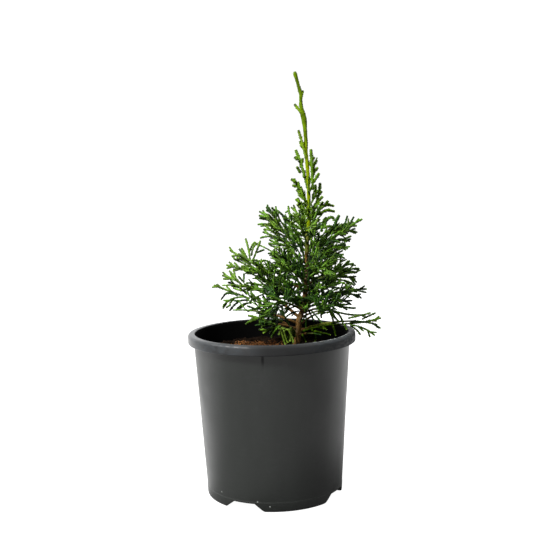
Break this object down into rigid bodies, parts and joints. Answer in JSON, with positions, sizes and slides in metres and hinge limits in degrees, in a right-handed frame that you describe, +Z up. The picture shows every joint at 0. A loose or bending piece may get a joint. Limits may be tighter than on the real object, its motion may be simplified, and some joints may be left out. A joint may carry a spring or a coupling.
{
  "type": "potted juniper",
  "caption": "Young upright conifer with scaly fan-shaped sprays and a bare leading shoot, growing in a round black nursery pot filled with bark soil.",
  "frame": {"origin": "middle of the pot's flat underside, on the surface that it stands on", "axes": "+Z up the pot's axis and along the plant's height; -Y is the front; +X is the side towards which the plant stands off the pot's middle"},
  "size_m": [0.1877, 0.165, 0.4126],
  "materials": {
    "pot": "satin",
    "soil": "rough loose bark",
    "bark": "rough",
    "foliage": "satin",
    "leader": "satin"
  },
  "bodies": {
    "root": {"pot": "pot", "soil": "soil", "trunk": "bark", "bough_low_right": "bark", "foliage_low_right": "foliage", "bough_low_left": "bark", "foliage_low_left": "foliage", "bough_low_front_right": "bark", "foliage_low_front_right": "foliage", "foliage_low_front_left": "foliage", "bough_low_back_right": "bark", "foliage_low_back_right": "foliage", "bough_low_back_left": "bark", "foliage_low_back_left": "foliage", "bough_mid_left": "bark", "foliage_mid_left": "foliage", "bough_mid_left_under": "bark", "foliage_mid_left_under": "foliage", "bough_mid_right": "bark", "foliage_mid_right": "foliage", "bough_mid_right_under": "bark", "foliage_mid_right_under": "foliage", "bough_mid_front_left": "bark", "foliage_mid_front_left": "foliage", "bough_mid_front_right": "bark", "foliage_mid_front_right": "foliage", "bough_mid_back_right": "bark", "foliage_mid_back_right": "foliage", "bough_mid_back_left": "bark", "foliage_mid_back_left": "foliage", "bough_high_left": "bark", "foliage_high_left": "foliage", "foliage_high_left_upper": "foliage", "bough_high_right": "bark", "foliage_high_right": "foliage", "foliage_high_right_upper": "foliage", "bough_high_front_left": "bark", "foliage_high_front_left": "foliage", "bough_high_front_right": "bark", "foliage_high_front_right": "foliage", "bough_high_back_left": "bark", "foliage_high_back_left": "foliage", "bough_high_back_right": "bark", "foliage_high_back_right": "foliage", "foliage_upper_left": "foliage", "foliage_upper_right": "foliage", "foliage_upper_front": "foliage", "foliage_upper_back": "foliage", "foliage_top_left": "foliage", "foliage_top_right": "foliage", "foliage_top_front": "foliage", "foliage_top_back": "foliage", "foliage_spire_left": "foliage", "foliage_spire_right": "foliage", "foliage_spire_left_upper": "foliage", "foliage_spire_right_upper": "foliage", "foliage_spire_left_tip": "foliage", "foliage_spire_front": "foliage", "foliage_spire_back": "foliage", "foliage_leader": "leader"}
  },
  "joints": []
}
